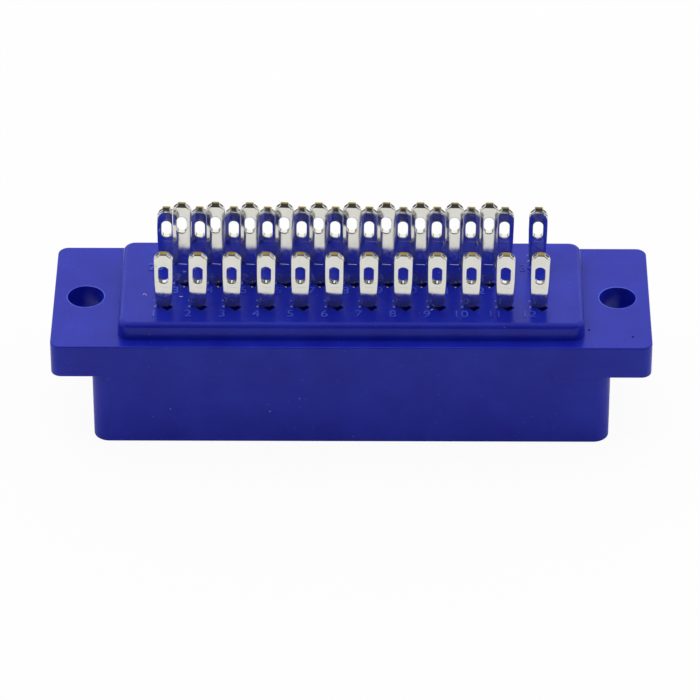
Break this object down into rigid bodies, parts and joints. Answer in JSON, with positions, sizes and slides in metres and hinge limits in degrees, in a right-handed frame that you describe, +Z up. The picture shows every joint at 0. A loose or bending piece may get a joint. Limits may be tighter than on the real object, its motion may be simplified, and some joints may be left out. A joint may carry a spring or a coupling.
{
  "type": "solder pin connector",
  "caption": "Rectangular multi-way plug: blue moulded insulator with screw flange, tail plate and open shroud, and staggered rows of flat blade contacts with twisted solder tails.",
  "frame": {"origin": "centre of the shroud's rim, at the level of the surface the plug stands on", "axes": "+X along the rows of contacts, from contact 1 to contact 12; +Y across the rows, from the front row to the rear row; +Z up along the solder tails, away from the mating side"},
  "size_m": [0.0458, 0.0134, 0.0177],
  "materials": {
    "insulator": "satin",
    "contact": "polished"
  },
  "bodies": {
    "root": {"insulator": "insulator", "contact_01": "contact", "contact_02": "contact", "contact_03": "contact", "contact_04": "contact", "contact_05": "contact", "contact_06": "contact", "contact_07": "contact", "contact_08": "contact", "contact_09": "contact", "contact_10": "contact", "contact_11": "contact", "contact_12": "contact", "contact_13": "contact", "contact_14": "contact", "contact_15": "contact", "contact_16": "contact", "contact_17": "contact", "contact_18": "contact", "contact_19": "contact", "contact_20": "contact", "contact_21": "contact", "contact_22": "contact", "contact_23": "contact", "contact_24": "contact", "contact_25": "contact", "contact_26": "contact", "contact_27": "contact", "contact_28": "contact", "contact_29": "contact", "contact_30": "contact", "contact_31": "contact", "contact_32": "contact", "contact_33": "contact", "contact_34": "contact"}
  },
  "joints": []
}
